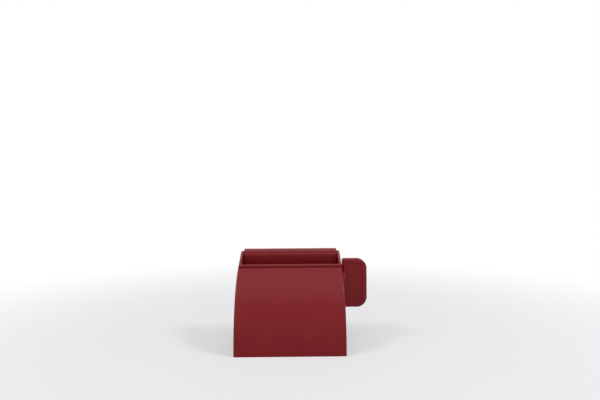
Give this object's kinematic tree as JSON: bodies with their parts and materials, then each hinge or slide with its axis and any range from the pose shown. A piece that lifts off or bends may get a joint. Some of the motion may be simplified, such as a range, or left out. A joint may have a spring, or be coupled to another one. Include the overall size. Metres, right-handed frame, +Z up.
{
  "type": "toothpaste tube squeezer",
  "caption": "Stand-up toothpaste tube squeezer: a wedge-shaped shell with a top slot and a split shaft inside, turned by a flat key at one side to wind up the tube's tail.",
  "frame": {"origin": "on the ground, at the middle of the whole squeezer's box with its key in", "axes": "+X along the key's axis towards its handle, +Y towards the flat back, +Z up out of the tube slot"},
  "size_m": [0.0896, 0.05, 0.0634],
  "materials": {
    "red_shell_plastic": "satin moulded",
    "red_shaft_plastic": "fine matt moulded"
  },
  "bodies": {
    "housing": {"front_shell": "red_shell_plastic", "rear_cover": "red_shell_plastic"},
    "key": {"split_shaft": "red_shaft_plastic", "key_handle": "red_shell_plastic"}
  },
  "joints": [
    {"name": "key_turn", "type": "hinge", "parent": "housing", "child": "key", "pos_m": [-0.00875, 0.00795, 0.0411], "axis": [1, 0, 0], "continuous": true}
  ]
}
